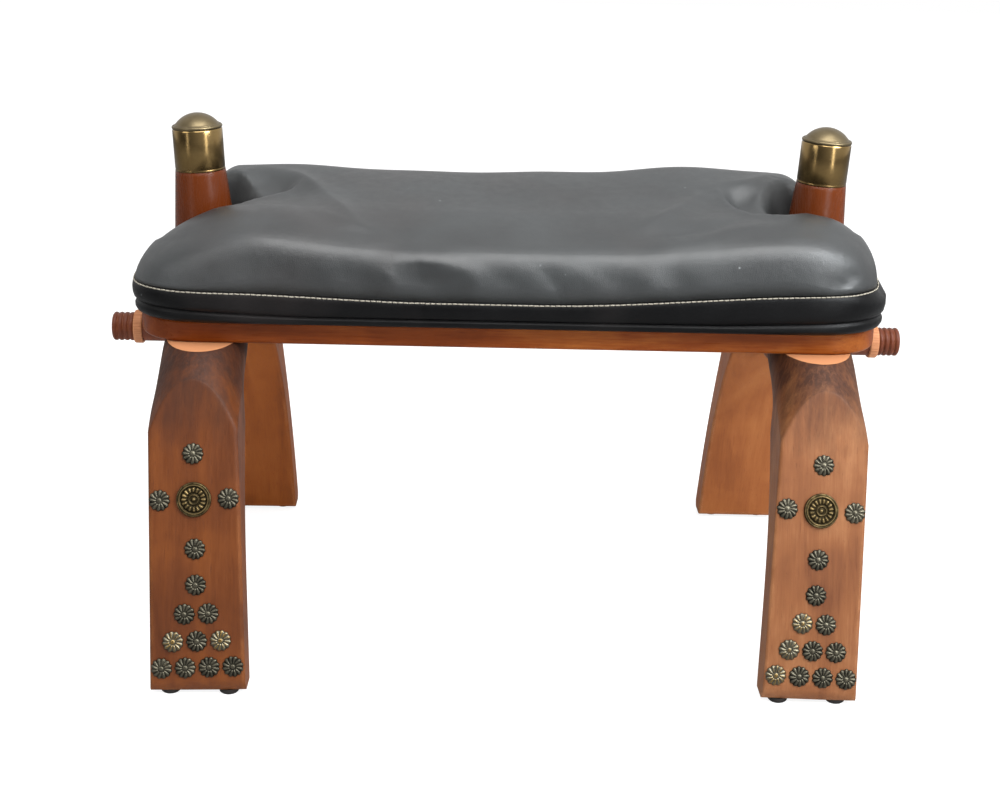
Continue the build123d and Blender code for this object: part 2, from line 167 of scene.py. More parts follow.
def add_mesh(name, points, faces, material, body, sharp=None):
    """New piece from points in millimetres, on a body."""
    mesh = bpy.data.meshes.new(name)
    scaled = np.asarray(points, float) * MM
    mesh.from_pydata(scaled.tolist(), [], faces)
    mesh.validate()
    mesh.shade_smooth()
    if sharp is not None:
        mesh.set_sharp_from_angle(angle=math.radians(sharp))
    mesh.materials.append(material)
    piece = bpy.data.objects.new(name, mesh)
    bpy.context.scene.collection.objects.link(piece)
    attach(piece, body)
    return piece


def bands(rings):
    """Faces between rings of point numbers. A ring of one point closes an end."""
    faces = []
    for low, high in zip(rings, rings[1:]):
        count = max(len(low), len(high))
        for index in range(count):
            after = (index + 1) % count
            places = ((low, index), (low, after), (high, after), (high, index))
            faces.append(tuple(dict.fromkeys(ring[place % len(ring)] for ring, place in places)))
    return faces


def flipped(faces):
    """The same faces, seen from their other side."""
    return [(face[0], *face[:0:-1]) for face in faces]


def lathe(profile, segments):
    """Points and faces of a turned form about Z, whose profile runs upward."""
    points, rings = [], []
    for radius, height in profile:
        count = segments if radius > 1e-6 else 1
        rings.append(range(len(points), len(points) + count))
        for index in range(count):
            angle = 2 * math.pi * index / segments
            points.append((radius * math.cos(angle), radius * math.sin(angle), height))
    return points, bands(rings)


def place(points, matrix):
    """Points moved by a matrix."""
    return [tuple(matrix @ Vector(point)) for point in points]


def joined(parts):
    """Several (points, faces) lists as one."""
    points, faces = [], []
    for part_points, part_faces in parts:
        start = len(points)
        points.extend(part_points)
        faces.extend(tuple(start + index for index in face) for face in part_faces)
    return points, faces


def arc(middle, radius, start, end, steps):
    """Points of an arc in a profile, angles in degrees."""
    angles = [math.radians(start + (end - start) * index / steps) for index in range(steps + 1)]
    x, y = middle
    return [(x + radius * math.cos(angle), y + radius * math.sin(angle)) for angle in angles]


def axis_matrix(origin, axis):
    """Frame with its Z along an axis."""
    turn = Vector(axis).to_track_quat("Z", "Y").to_matrix().to_4x4()
    return Matrix.Translation(Vector(origin)) @ turn


# Colours

GOLD = rgb(150, 122, 70)
RAW_LIGHT = rgb(190, 128, 86)
RAW_DARK = rgb(162, 102, 64)
LEATHER_WARM = rgb(48, 43, 42)
DUST = rgb(150, 155, 156)
THREAD_LIGHT = rgb(172, 165, 150)
THREAD_DARK = rgb(120, 114, 102)
SCUFF = rgb(52, 48, 44)
STEEL_DARK = rgb(120, 122, 126)
STEEL_LIGHT = rgb(176, 178, 180)

# Stained wood: dark, middle, light and worn
LEG_COLOURS_AND_PAINTED_LIGHT = {
    ("left", "front"): (rgb(62, 24, 2), rgb(98, 48, 10), rgb(124, 66, 18), rgb(140, 84, 38)),
    ("left", "rear"): (rgb(98, 44, 8), rgb(146, 76, 20), rgb(172, 98, 36), rgb(186, 120, 70)),
    # The right legs are lighter and paler than the left partly as painted light, for the stronger light
    # from the right.
    ("right", "front"): (rgb(84, 42, 18), rgb(124, 75, 40), rgb(158, 109, 70), rgb(168, 117, 78)),
    ("right", "rear"): (rgb(120, 62, 26), rgb(158, 92, 44), rgb(182, 116, 62), rgb(196, 138, 92)),
}
RAIL_COLOURS = (rgb(72, 24, 2), rgb(114, 52, 12), rgb(148, 84, 32), rgb(178, 110, 60))
STRETCHER_COLOURS = (rgb(66, 28, 14), rgb(100, 48, 26), rgb(128, 68, 40), rgb(160, 98, 62))
# Dark brown at the top of a leg, under the rail: partly painted shade from the rail and cushion, partly
# dark stain.
SHOULDER_SHADE_AND_STAIN = rgb(44, 21, 10)
POST_TONE = rgb(100, 42, 6)

# Places of the painted shade and stain on a leg, in metres
SHOULDER_START = 0.186
SHOULDER_FULL = 0.240
SHOULDER_DRIFT = 0.024  # how ragged its edge is
POST_START = 0.262
POST_FULL = 0.268
SEAT_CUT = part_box("front_rail")[0].z
SEAT_NEAR = 0.0004  # within this of the seat cut the wood is bare
SEAT_FAR = 0.0008
LEG_SLOPE = 16.8  # degrees, of a leg's grain, seen from the end

# Grain: its stretch along the wood, and the share of each kind in the tone
FIBRE_STRETCH = 0.045
FIGURE_STRETCH = 0.16
FIBRE_SHARE = 0.22
FIGURE_SHARE = 0.38
BLOTCH_SHARE = 0.4


# Materials

class Value:
    """Output of a node. What is done with it adds nodes."""

    def __init__(self, nodes, socket):
        self.nodes, self.socket = nodes, socket

    def __add__(self, other):
        return self.nodes.math("ADD", self, other)

    def __mul__(self, other):
        return self.nodes.math("MULTIPLY", self, other)

    def __rsub__(self, other):
        return self.nodes.math("SUBTRACT", other, self)

    def span(self, low, high, to_low=0.0, to_high=1.0):
        """Mapped from one range to another, and clamped."""
        return self.nodes.add("ShaderNodeMapRange", self, low, high, to_low, to_high)


class Nodes:
    """A node tree, with short calls for its nodes."""

    def __init__(self, tree):
        self.tree = tree
        tree.nodes.clear()

    def feed(self, socket, value):
        """Give an input its value, or the output that it follows."""
        if isinstance(value, Value):
            self.tree.links.new(value.socket, socket)
        else:
            socket.default_value = value

    def add(self, kind, *values, output=0, **named):
        """One node. Values go to inputs in order, or by a capital name. Other names are settings."""
        node = self.tree.nodes.new(kind)
        for name, value in named.items():
            if name[0].isupper():
                self.feed(node.inputs[name.replace("_", " ")], value)
            else:
                setattr(node, name, value)
        for socket, value in zip(node.inputs, values):
            self.feed(socket, value)
        return Value(self, node.outputs[output]) if node.outputs else None

    def math(self, operation, first, second=0.0):
        """One sum."""
        return self.add("ShaderNodeMath", first, second, operation=operation)


class Shader(Nodes):
    """Nodes of one material."""

    def __init__(self, name):
        self.material = bpy.data.materials.new(name)
        self.material.use_nodes = True
        super().__init__(self.material.node_tree)
        self.place = self.add("ShaderNodeTexCoord", output="Object")

    def stretched(self, scale, turn=(0, 0, 0)):
        """Coordinates scaled along each axis, after a turn in degrees."""
        turned = self.add("ShaderNodeMapping", Vector=self.place, Rotation=[math.radians(a) for a in turn])
        return self.add("ShaderNodeMapping", Vector=turned, Scale=scale)

    def noise(self, vector, scale, detail=3.0, roughness=0.5, distortion=0.0):
        """Noise from 0 to 1."""
        inputs = {"Vector": vector, "Scale": scale, "Detail": detail, "Roughness": roughness}
        return self.add("ShaderNodeTexNoise", Distortion=distortion, output="Fac", **inputs)

    def cells(self, scale, **settings):
        """Distances of a cell pattern."""
        inputs = {"Vector": self.place, "Scale": scale}
        return self.add("ShaderNodeTexVoronoi", output="Distance", **inputs, **settings)

    def mix(self, share, first, second):
        """Two colours mixed."""
        return self.add("ShaderNodeMixRGB", share, first, second)

    def bump(self, height, distance, strength, **normal):
        """Bumped normal, distance in metres."""
        return self.add("ShaderNodeBump", Height=height, Distance=distance, Strength=strength, **normal)

    def bevel(self, radius):
        """Normal with rounded edges, radius in metres."""
        return self.add("ShaderNodeBevel", Radius=radius)

    def normal(self):
        """Plain normal of the mesh."""
        return self.add("ShaderNodeNewGeometry", output="Normal")

    def part(self, vector, axis):
        """One part of a vector."""
        return self.add("ShaderNodeSeparateXYZ", vector, output=axis)

    def finish(self, **inputs):
        """Principled surface as the material's output."""
        self.add("ShaderNodeOutputMaterial", self.add("ShaderNodeBsdfPrincipled", **inputs))
        return self.material


def wood(name, colours, turn, along, leg=False, roughness=0.40, specular=0.28, bevel=0.0012):
    """Stained wood: fine grain along one axis, broad figure, pores, scratches and worn edges."""
    shader = Shader(name)
    dark, middle, light, worn = colours
    fine, broad = [1.0] * 3, [1.0] * 3
    fine[along] = FIBRE_STRETCH
    broad[along] = FIGURE_STRETCH
    grain = shader.stretched(fine, turn)
    fibres = shader.noise(grain, 620, 4, 0.65, 0.25)
    figure = shader.noise(shader.stretched(broad, turn), 40, 3, 0.55, 1.0)
    blotch = shader.noise(shader.place, 13, 3, 0.55, 0.4)
    pores = shader.noise(grain, 1500, 2).span(0.63, 0.72)
    tone = fibres * FIBRE_SHARE + figure * FIGURE_SHARE + blotch * BLOTCH_SHARE
    colour = shader.mix(tone.span(0.30, 0.50), dark, middle)
    colour = shader.mix(tone.span(0.50, 0.68), colour, light)
    colour = shader.mix(pores * 0.45, colour, dark)
    scratches = shader.noise(shader.stretched([1, 1, 0.03], (0, 31, 0)), 900, 2)
    colour = shader.mix(scratches.span(0.70, 0.76, 0.0, 0.3), colour, dark)
    rough = fibres.span(0.3, 0.7, roughness - 0.05, roughness + 0.12)
    normals = (shader.bevel(bevel * 1.3), shader.normal())
    edge = shader.add("ShaderNodeVectorMath", *normals, operation="DOT_PRODUCT", output="Value")
    wear = edge.span(0.995, 0.85) * shader.noise(shader.place, 70).span(0.38, 0.62, 0.2, 0.85)
    if leg:
        colour, rough, wear = leg_shade_and_stain(shader, colour, rough, wear, fibres, dark, turn)
    colour = shader.mix(wear, colour, worn)
    normal = shader.bump(fibres + pores * -0.6, 0.0001, 0.5, Normal=shader.bevel(bevel))
    return shader.finish(Base_Color=colour, Roughness=rough, Normal=normal, Specular_IOR_Level=specular)


def leg_shade_and_stain(shader, colour, rough, wear, fibres, dark, turn):
    """A leg's dark ragged shoulder under the rail, partly painted shade and partly stain, its redder post,
    and the bare flat under a rail.
    """
    upward = shader.part(shader.normal(), "Z")
    height = shader.part(shader.place, "Z")
    drift = shader.noise(shader.stretched([1, 1, 0.4], turn), 55, 4, 0.6)
    ragged = height + drift.span(0.3, 0.7, -SHOULDER_DRIFT, SHOULDER_DRIFT)
    aside = shader.math("ABSOLUTE", shader.part(shader.normal(), "X")).span(0.05, 0.55)
    rounded_off = shader.math("MAXIMUM", aside, upward.span(0.40, 0.75))
    streaks = shader.noise(shader.stretched([1, 1, 0.05], turn), 260, 4, 0.7, 0.6)
    # Painted shade under the rail, partly dark stain: darker toward the top of the leg and on faces turned
    # sideways or up, with ragged streaks.
    shade_and_stain = ragged.span(SHOULDER_START, SHOULDER_FULL) * (rounded_off * 0.22 + 0.72)
    shade_and_stain = shade_and_stain * streaks.span(0.34, 0.56, 0.62, 1.0)
    colour = shader.mix(shade_and_stain, colour, SHOULDER_SHADE_AND_STAIN)
    colour = shader.mix(height.span(POST_START, POST_FULL, 0.0, 0.8), colour, POST_TONE)
    colour = shader.mix(fibres * 0.25, colour, dark)
    above = height.span(SEAT_CUT - SEAT_FAR, SEAT_CUT - SEAT_NEAR)
    below = height.span(SEAT_CUT + SEAT_FAR, SEAT_CUT + SEAT_NEAR)
    bare = upward.span(0.97, 0.99) * (above * below)
    colour = shader.mix(bare, colour, RAW_LIGHT)
    rough = rough + shade_and_stain * 0.14 + bare * 0.3 + height.span(POST_START, POST_FULL, 0.0, -0.36)
    wear = wear * height.span(SHOULDER_START - 0.05, SHOULDER_START, 1.0, 0.0)
    return colour, rough, wear


def raw_wood(name):
    """Pale wood without stain."""
    shader = Shader(name)
    fibres = shader.noise(shader.stretched((0.08, 1, 1)), 800, 4, 0.6, 0.3)
    blotch = shader.noise(shader.place, 60, 2)
    colour = shader.mix(fibres.span(0.35, 0.65), RAW_DARK, RAW_LIGHT)
    colour = shader.mix(blotch.span(0.5, 0.75, 0.0, 0.5), colour, RAW_DARK)
    return shader.finish(Base_Color=colour, Roughness=0.72, Normal=shader.bump(fibres, 0.0002, 0.6))


def antique_brass(name, patina, bright, roughness, mottle=0.22):
    """Brass under a brown patina, polished where the mesh stands proud."""
    shader = Shader(name)
    worn = shader.add("ShaderNodeAttribute", attribute_name="wear", output="Fac")
    share = worn + shader.noise(shader.place, 160, 4, 0.6, 0.3).span(0.3, 0.7, -mottle, mottle)
    colour = shader.mix(share.span(0.15, 0.95), patina, bright)
    colour = shader.mix(share.span(0.95, 1.35), colour, GOLD)
    spots = shader.noise(shader.place, 420, 3, 0.6).span(0.60, 0.70, 0.0, 2.2 * mottle)
    colour = shader.mix(spots, colour, patina)
    rough = share.span(0.1, 1.0, roughness + 0.16, roughness - 0.04) + spots * 0.15
    normal = shader.bump(shader.noise(shader.place, 2200, 3, 0.6), 0.00005, 0.5)
    return shader.finish(Base_Color=colour, Metallic=1.0, Roughness=rough, Normal=normal)


def leather(name, dark, light, roughness, specular):
    """Black leather, greyer with use: fine pebbled grain, soft wrinkles and a few dust specks."""
    shader = Shader(name)
    cloud = shader.noise(shader.place, 14, 3, 0.5, 0.4)
    colour = shader.mix(cloud.span(0.3, 0.7), dark, light)
    colour = shader.mix(shader.noise(shader.place, 9, 2).span(0.52, 0.72, 0.0, 0.35), colour, LEATHER_WARM)
    dust = shader.cells(75.0).span(0.075, 0.045) * shader.noise(shader.place, 42, 1).span(0.63, 0.66)
    colour = shader.mix(dust * 0.5, colour, DUST)
    grain = shader.cells(850.0, feature="DISTANCE_TO_EDGE").span(0.0, 0.22)
    soft = shader.noise(shader.place, 120, 4, 0.55)
    wrinkles = shader.noise(shader.stretched([1.0, 1.0, 0.5], (0, 20, 12)), 38, 3, 0.5, 0.6)
    normal = shader.bump(grain * 0.3 + soft + wrinkles * 2.0, 0.00035, 0.4)
    rough = soft.span(0.3, 0.7, roughness - 0.03, roughness + 0.05) + cloud.span(0.3, 0.7, -0.04, 0.04)
    return shader.finish(Base_Color=colour, Roughness=rough, Normal=normal, Specular_IOR_Level=specular)


def thread(name):
    """Cream thread."""
    shader = Shader(name)
    twist = shader.noise(shader.place, 1800, 2)
    colour = shader.mix(twist.span(0.35, 0.65), THREAD_DARK, THREAD_LIGHT)
    return shader.finish(Base_Color=colour, Roughness=0.8, Normal=shader.bump(twist, 0.0001, 0.5))


def plastic(name, colour, roughness):
    """Moulded plastic, a little scuffed."""
    shader = Shader(name)
    scuff = shader.noise(shader.place, 500, 4, 0.65)
    tone = shader.mix(scuff.span(0.5, 0.8, 0.0, 0.5), colour, SCUFF)
    rough = scuff.span(0.3, 0.7, roughness - 0.08, roughness + 0.12)
    normal = shader.bump(scuff, 0.0001, 0.4, Normal=shader.bevel(0.0004))
    return shader.finish(Base_Color=tone, Roughness=rough, Normal=normal)


def steel(name):
    """Zinc plated steel."""
    shader = Shader(name)
    cloud = shader.noise(shader.place, 300)
    colour = shader.mix(cloud.span(0.35, 0.65), STEEL_DARK, STEEL_LIGHT)
    return shader.finish(Base_Color=colour, Metallic=1.0, Roughness=cloud.span(0.3, 0.7, 0.3, 0.45))


# Rosettes and medallions

PETALS = 12
ROSETTE_RADIUS = 8.2
ROSETTE_RISE = 2.2
ROSETTE_RINGS = 11
MEDALLION_PETALS = 16
MEDALLION_RADIUS = 13.4
MEDALLION_RISE = 3.2
MEDALLION_RINGS = 22
STEPS_PER_PETAL = 6
HEAD_FLOOR = -0.1

# Humps of a medallion, as shares: height, distance from its middle and width
RIM_BEAD = ((0.62, 0.94, 0.05),)
INNER_BEAD = ((1.0, 0.83, 0.032),)
BOSS = ((0.7, 0.0, 0.13), (0.6, 0.27, 0.045))

# How the heads differ
HEAD_TILT = 2.5  # degrees
POLISH_SPREAD = (-0.10, 0.06)
GOLDEN_POLISH = 0.42
CAP_POLISH = 0.55
GOLDEN_BELOW = 70.0
ROW_HEIGHT = 5.0


def petal_share(angle, petals):
    """How far an angle lies from the middle of its petal, from 0 to 1."""
    turn = angle * petals / (2 * math.pi)
    return abs(2 * (turn - math.floor(turn)) - 1)


def rosette_point(share, angle):
    """Point and polish of a small rosette: rounded petals about a dimple with a nail head."""
    swirl, scallop, rim = 0.22, 0.13, 0.30
    groove_depth, dimple_depth, dimple_at, dimple_width = 0.52, 0.55, 0.27, 0.07
    off = petal_share(angle + swirl * share, PETALS)
    reach = ROSETTE_RADIUS * share * (1 - scallop * off ** 2.4 * share ** 2)
    body = rim + (1 - rim) * math.sqrt(max(0.0, 1 - share ** 3.2))
    groove = 1 - groove_depth * off ** 1.7 * float(smooth(share, 0.2, 0.5))
    dimple = 1 - dimple_depth * float(bell(share, dimple_at, dimple_width))
    height = ROSETTE_RISE * body * groove * dimple
    polish = 0.85 * groove ** 2 * dimple - 0.35 * (1 - body)
    return reach, height, polish


def medallion_point(share, angle):
    """Point and polish of a large rosette: two rim beads, a ring of petals and a boss."""
    floor = 0.26
    off = petal_share(angle, MEDALLION_PETALS)
    band = float(smooth(share, 0.38, 0.45) * (1 - smooth(share, 0.66, 0.74)))
    petal = band * (0.72 - 0.55 * off ** 1.6)
    rise = max(petal, *(float(humps(share, table)) for table in (RIM_BEAD, INNER_BEAD, BOSS)))
    turned_down = 1 - 0.6 * float(smooth(share, 0.965, 1.0))
    height = MEDALLION_RISE * (floor + (1 - floor) * rise) * turned_down
    return MEDALLION_RADIUS * share, height, 1.05 * rise - 0.15


def head(point_at, petals, rings):
    """Points, faces and polish of one pressed flower about Z, closed at the back."""
    count = petals * STEPS_PER_PETAL
    points, polish, circles = [], [], []
    for ring in range(rings + 1):
        steps = count if ring else 1
        circles.append(range(len(points), len(points) + steps))
        for index in range(steps):
            angle = 2 * math.pi * index / count
            reach, height, shine = point_at(ring / rings, angle)
            points.append((reach * math.cos(angle), reach * math.sin(angle), height))
            polish.append(shine)
    circles += [range(len(points), len(points) + count), [len(points) + count]]
    points += [(x, y, HEAD_FLOOR) for x, y, _ in points[-count:]] + [(0, 0, HEAD_FLOOR)]
    return points, flipped(bands(circles)), polish + [0.0] * (count + 1)


def islands(node):
    """Loose pieces of a node, each as its list of corner triples in millimetres."""
    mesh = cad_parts[node].data
    mesh.calc_loop_triangles()
    keys = {}
    places = (tuple(round(value * 1e5) for value in vertex.co) for vertex in mesh.vertices)
    merged = [keys.setdefault(place, len(keys)) for place in places]
    parent = list(range(len(keys)))

    def root(index):
        while parent[index] != index:
            index = parent[index]
        return index

    for triangle in mesh.loop_triangles:
        first, second, third = (root(merged[index]) for index in triangle.vertices)
        parent[first] = parent[second] = third
    groups = {}
    for triangle in mesh.loop_triangles:
        corners = [mesh.vertices[index].co / MM for index in triangle.vertices]
        groups.setdefault(root(merged[triangle.vertices[0]]), []).append(corners)
    return list(groups.values())


def corners_of(node):
    """Corners of a node's mesh, in millimetres."""
    return [vertex.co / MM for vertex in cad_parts[node].data.vertices]


def seat_of(island):
    """Middle of a head's flat back, and the direction that the head faces."""
    sums = {}
    for a, b, c in island:
        normal = (b - a).cross(c - a)
        area = normal.length / 2
        if area < 1e-6:
            continue
        normal.normalize()
        key = tuple(round(value * 50) for value in normal)
        total = sums.setdefault(key, [0.0, Vector((0, 0, 0)), Vector((0, 0, 0))])
        total[0] += area
        total[1] += (a + b + c) / 3 * area
        total[2] += normal * area
    area, middle, normal = max(sums.values(), key=lambda total: total[0])
    return middle / area, -normal.normalized()


def golden(middle, seats, node):
    """Whether a head has lost its patina, as a few low ones in front have."""
    row = sorted(seat[0].x for seat in seats if abs(seat[0].z - middle.z) < ROW_HEIGHT)
    if node == "left_front_rosettes":
        return len(row) == 3 and middle.x in (row[0], row[-1])
    return node == "right_front_rosettes" and middle.z < GOLDEN_BELOW and middle.x == row[0]


def store_wear(piece, values):
    """Polish of a brass piece, point by point."""
    layer = piece.data.attributes.new("wear", "FLOAT", "POINT")
    layer.data.foreach_set("value", np.asarray(values, np.float32))


def flowers(name, nodes, flower, material):
    """One piece with a flower at the place of each head of some nodes."""
    draws = random.Random(name)
    flower_points, flower_faces, flower_polish = flower
    parts, wear = [], []
    seats = [seat_of(island) for node in nodes for island in islands(node)]
    seats.sort(key=lambda seat: tuple(seat[0]))
    for middle, axis in seats:
        turn = Matrix.Rotation(draws.uniform(0, 2 * math.pi), 4, "Z")
        tilt = Matrix.Rotation(math.radians(draws.uniform(-HEAD_TILT, HEAD_TILT)), 4, "X")
        matrix = axis_matrix(middle, axis) @ tilt @ turn
        parts.append((place(flower_points, matrix), flower_faces))
        shade = draws.uniform(*POLISH_SPREAD) + (GOLDEN_POLISH if golden(middle, seats, nodes[0]) else 0.0)
        wear.extend(value + shade for value in flower_polish)
    points, faces = joined(parts)
    piece = add_mesh(name, points, faces, material, "frame")
    store_wear(piece, wear)
    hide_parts(*nodes)


# Brass on the posts

def post_frame(side):
    """Frame of a post, from the foot of its ferrule and along it, and the ferrule's sizes."""
    places = np.array([tuple(corner) for corner in corners_of(side + "_ferrule")])
    cut = (places[:, 2].max() + places[:, 2].min()) / 2
    low = np.unique(places[places[:, 2] < cut].round(3), axis=0)
    high = np.unique(places[places[:, 2] > cut].round(3), axis=0)
    foot = (low.max(0) + low.min(0)) / 2
    top = (high.max(0) + high.min(0)) / 2
    axis = Vector(top - foot)
    radius = (low[:, 1].max() - low[:, 1].min()) / 2
    return axis_matrix(foot, axis), axis.length, radius


def ferrule_profile(height, radius):
    """Sheet brass tube, with a turned edge at the foot and a shadow line under the cap."""
    inner = radius - 0.9
    foot = ((-0.5, 0.0), (0, 0.5), (0, 1.4), (-0.25, 1.8), (-0.25, 2.2), (0, 2.6))
    top = ((0, -1.0), (-0.3, -0.4), (-0.5, 0))
    profile = [(inner, 0.02)] + [(radius + out, up) for out, up in foot]
    profile += [(radius + out, height + up) for out, up in top]
    return profile + [(inner, height), (inner, height / 2), (inner, 0.02)]


def cap_profile(base):
    """Pressed cap: a rolled rim, a flat step with a small ring, and the dome."""
    rim, bead, step, dome_foot, rise, steps = 20.3, 1.5, 18.3, 17.7, 12.3, 14
    step_height = base + 2 * bead
    profile = [(0, base), (rim - bead, base)]
    profile += arc((rim - bead, base + bead), bead, -90, 90, 10)
    profile += [(step + 0.9, step_height - 0.25), (step + 0.5, step_height - 0.35)]
    profile += arc((step - 0.1, step_height + 0.1), 0.35, -20, 160, 6)
    top = base + rise
    dome_rise = top - step_height - 0.3
    sphere = (dome_foot ** 2 + dome_rise ** 2) / (2 * dome_rise)
    widest = math.asin(dome_foot / sphere)
    for index in range(steps + 1):
        angle = widest * (1 - index / steps)
        profile.append((sphere * math.sin(angle), top - sphere * (1 - math.cos(angle))))
    profile[-1] = (0, top)
    return profile


def brass_top(side, brass):
    """Ferrule of one post, brighter at its top, and the points and faces of its cap."""
    matrix, height, radius = post_frame(side)
    points, faces = lathe(ferrule_profile(height, radius), POST_SEGMENTS)
    tube = add_mesh(side + "_ferrule_brass", place(points, matrix), faces, brass, "frame", sharp=50)
    inverse = matrix.inverted()
    rises = [(inverse @ (vertex.co / MM)).z for vertex in tube.data.vertices]
    store_wear(tube, smooth(rises, -height, height * 2.2))
    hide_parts(side + "_ferrule")
    points, faces = lathe(cap_profile(height), POST_SEGMENTS)
    return place(points, matrix), faces


# Stretcher and collars

def stretcher_profile(half, knob_start, radius):
    """Half of the stretcher: plain to the collar, then round reeds and a worn end."""
    reeds, depth, steps = 4, 1.5, 8
    width = (half - knob_start) / reeds
    profile = [(radius, 0.0), (radius, knob_start - 0.4)]
    for index in range(reeds):
        start = knob_start + index * width
        last = index == reeds - 1
        for step in range(steps + 1):
            share = step / steps
            crest = math.sin(math.pi * share) ** 0.55 if 0 < share < 1 else 0.0
            if last and share > 0.5:
                crest = 1 - 1.1 * (2 * share - 1) ** 2.6
            profile.append((radius - depth * (1 - crest), start + share * width * 0.985))
    return profile + [(radius - 3.4, half), (0, half)]


def both_ends(profile, middle):
    """A turned form laid along the stretcher's axis, toward either side."""
    points, faces = lathe(profile, STRETCHER_SEGMENTS)
    parts = []
    for side in (1, -1):
        matrix = Matrix.Translation(Vector(middle)) @ Matrix.Rotation(math.radians(90 * side), 4, "Y")
        parts.append((place(points, matrix), faces))
    return joined(parts)


def collar_profile(start, end, radius, bore):
    """Raw ring with softly rounded arrises."""
    soft = 1.3
    profile = [(bore, start), (radius - soft, start)]
    profile += arc((radius - soft, start + soft), soft, -90, 0, 5)
    profile += arc((radius - soft, end - soft), soft, 0, 90, 5)
    return profile + [(bore, end), (bore, start)]


# Cushion

def quarter_outline():
    """Outline of the right front quarter, from the middle to the bottom of the notch."""
    points = [(0.0, -HALF_DEPTH)]
    start_x, start_y = CORNER_START
    reach_x, reach_y = HALF_LENGTH - start_x, HALF_DEPTH - start_y
    steps = 40
    for index in range(steps + 1):
        angle = math.pi / 2 * index / steps
        x = start_x + reach_x * math.sin(angle) ** (2 / CORNER_POWER)
        y = start_y + reach_y * math.cos(angle) ** (2 / CORNER_POWER)
        points.append((x, -y))
    mouth = (HALF_LENGTH - NOTCH_MOUTH_ROUND, -NOTCH_HALF_WIDTH - NOTCH_MOUTH_ROUND)
    points += arc(mouth, NOTCH_MOUTH_ROUND, 0, 90, 8)
    points += arc((NOTCH_MIDDLE, 0), NOTCH_HALF_WIDTH, -90, -180, 20)
    return points


def lengths_along(line):
    """Distance of each point of a line from its start."""
    return np.concatenate([[0], np.cumsum(np.hypot(*np.diff(line, axis=0).T))])


def resampled(points, step):
    """The same line with evenly spaced points, both ends kept."""
    line = np.asarray(points, float)
    along = lengths_along(line)
    marks = np.linspace(0, along[-1], max(2, round(along[-1] / step)) + 1)
    return np.column_stack([np.interp(marks, along, column) for column in line.T])


def cushion_outline():
    """Closed outline seen from above, and the outward direction at each point."""
    right_front = resampled(quarter_outline(), OUTLINE_STEP)
    right_rear = (right_front * (1, -1))[::-1]
    right = np.vstack([right_front, right_rear[1:]])
    left = (right * (-1, 1))[::-1]
    line = np.vstack([right, left[1:-1]])
    tangent = np.roll(line, -1, axis=0) - np.roll(line, 1, axis=0)
    tangent /= np.linalg.norm(tangent, axis=1)[:, None]
    outward = np.column_stack([tangent[:, 1], -tangent[:, 0]])
    return line, outward


def nearest(points, line):
    """Distance of each point from the outline, and which outline point is nearest."""
    found = []
    for start in range(0, len(points), 2000):
        gaps = np.linalg.norm(points[start:start + 2000, None, :] - line[None, :, :], axis=2)
        found.append((gaps.min(1), gaps.argmin(1)))
    return tuple(np.concatenate(part) for part in zip(*found))


def reach_at(value, axis):
    """Reach of the outline along one axis, at a place along the other."""
    other = 1 - axis
    share = np.clip((np.abs(value) - CORNER_START[other]) / (HALF[other] - CORNER_START[other]), 0, 1)
    rounding = (1 - share ** CORNER_POWER) ** (1 / CORNER_POWER)
    return CORNER_START[axis] + (HALF[axis] - CORNER_START[axis]) * rounding


def swell(distance, edge):
    """Rounding from 0 at an edge to 1 at its reach."""
    reach, power = edge
    share = np.clip(distance / reach, 0, 1)
    return (1 - (1 - share) ** power) ** (1 / power)


def seam_height(x, y):
    """Height of the upper seam: it climbs to the right end and into the notches."""
    right = smooth(x, 20, 260)
    left = smooth(-x, 60, 230)
    mouth = 1 - smooth(np.abs(y), NOTCH_HALF_WIDTH, 70)
    end = smooth(np.abs(x), 205, 285)
    notch = mouth * end * np.where(x > 0, RIGHT_NOTCH_CLIMB, LEFT_NOTCH_CLIMB)
    return UPPER_SEAM + RIGHT_CLIMB * right + LEFT_CLIMB * left + notch


def lower_seam_height(x):
    """Height of the lower seam, a little higher at the ends."""
    return LOWER_SEAM + LOWER_CLIMB * smooth(np.abs(x), 150, 290)


def crest_height(x, y):
    """Height that the filled top would have without its edges: two lobes at each end."""
    front = humps(x, FRONT_LOBES, FRONT_CREST)
    rear = humps(x, REAR_LOBES, REAR_CREST)
    height = MIDDLE_CREST + (front - MIDDLE_CREST) * smooth(-y, -CREST_REACH, FRONT_REACH)
    return height + (rear - MIDDLE_CREST) * smooth(y, -CREST_REACH, REAR_REACH)


def top_height(x, y):
    """Height of the top panel above the floor."""
    to_end = reach_at(y, 0) - np.abs(x)
    to_side = reach_at(x, 1) - np.abs(y)
    rear = smooth(y, 0, 40)
    along = np.where(x > 0, swell(to_end, RIGHT_END), swell(to_end, LEFT_END))
    along = blend(along, swell(to_end, REAR_END), rear)
    slack = (1 - smooth(np.abs(x), 90, 200)) * smooth(-y, -10, 30)
    sewn = swell(to_side, SEWN_EDGE)
    lobe = blend(swell(to_side, LOBE_SLOPE), sewn, LOBE_SEWN)
    seat = blend(swell(to_side, SEAT_SLOPE), sewn, SEAT_SEWN)
    across = blend(blend(lobe, seat, slack), swell(to_side, REAR_SLOPE), rear)
    beside = np.abs(y) - NOTCH_HALF_WIDTH
    round_end = np.hypot(np.abs(x) - NOTCH_MIDDLE, y) - NOTCH_HALF_WIDTH
    to_notch = np.where(np.abs(x) > NOTCH_MIDDLE, beside, round_end)
    notch = swell(to_notch, (NOTCH_ROUND - NOTCH_ROUND_LESS * smooth(y, -5, 15), NOTCH_POWER))
    seam = seam_height(x, y)
    return seam + along * across * notch * (crest_height(x, y) - seam) + folds(x, y)


